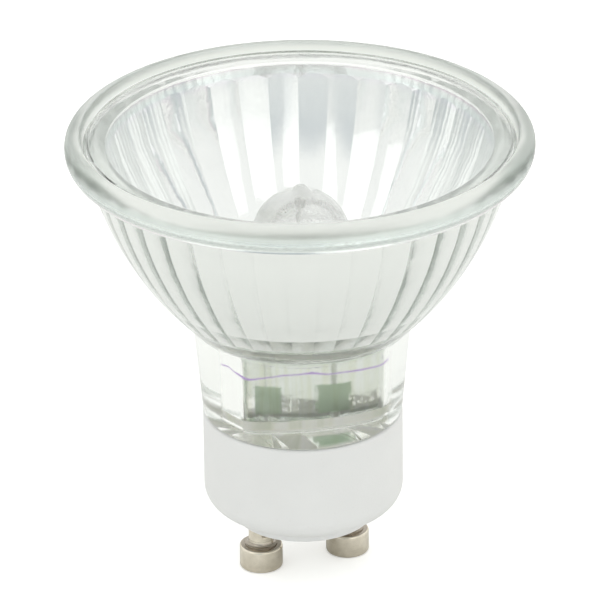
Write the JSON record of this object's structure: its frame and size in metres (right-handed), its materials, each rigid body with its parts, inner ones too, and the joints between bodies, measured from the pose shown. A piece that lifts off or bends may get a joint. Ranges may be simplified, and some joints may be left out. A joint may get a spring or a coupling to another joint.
{
  "type": "spotlight bulb",
  "caption": "Reflector spotlight bulb: faceted clear glass bowl with a flat cover glass, quartz capsule in a solid neck and a bevelled ceramic twist-and-lock base on headed contact pins.",
  "frame": {"origin": "on the lamp axis, level with the flat ends of the contact pins", "axes": "+Z along the lamp axis from the pins to the cover glass, X through both pins"},
  "size_m": [0.05, 0.05, 0.0512],
  "materials": {
    "cover_glass": "clear, polished",
    "adhesive": "clear silicone",
    "reflector_glass": "clear pressed glass with a thin dichroic coating inside",
    "quartz": "clear, fire polished",
    "tungsten": "dull coiled wire",
    "lead_wire": "drawn wire and rolled foil",
    "cement": "matte, slightly rough",
    "ceramic": "unglazed white, matte",
    "pin_metal": "turned and nickel plated"
  },
  "bodies": {
    "root": {"front_glass": "cover_glass", "front_glass_bond": "adhesive", "reflector": "reflector_glass", "capsule_envelope": "quartz", "filament": "tungsten", "filament_support": "lead_wire", "inner_lead_left": "lead_wire", "inner_lead_right": "lead_wire", "foil_left": "lead_wire", "foil_right": "lead_wire", "outer_lead_left": "lead_wire", "outer_lead_right": "lead_wire", "base_cement": "cement", "ceramic_base": "ceramic", "contact_pin_left": "pin_metal", "contact_pin_right": "pin_metal"}
  },
  "joints": []
}
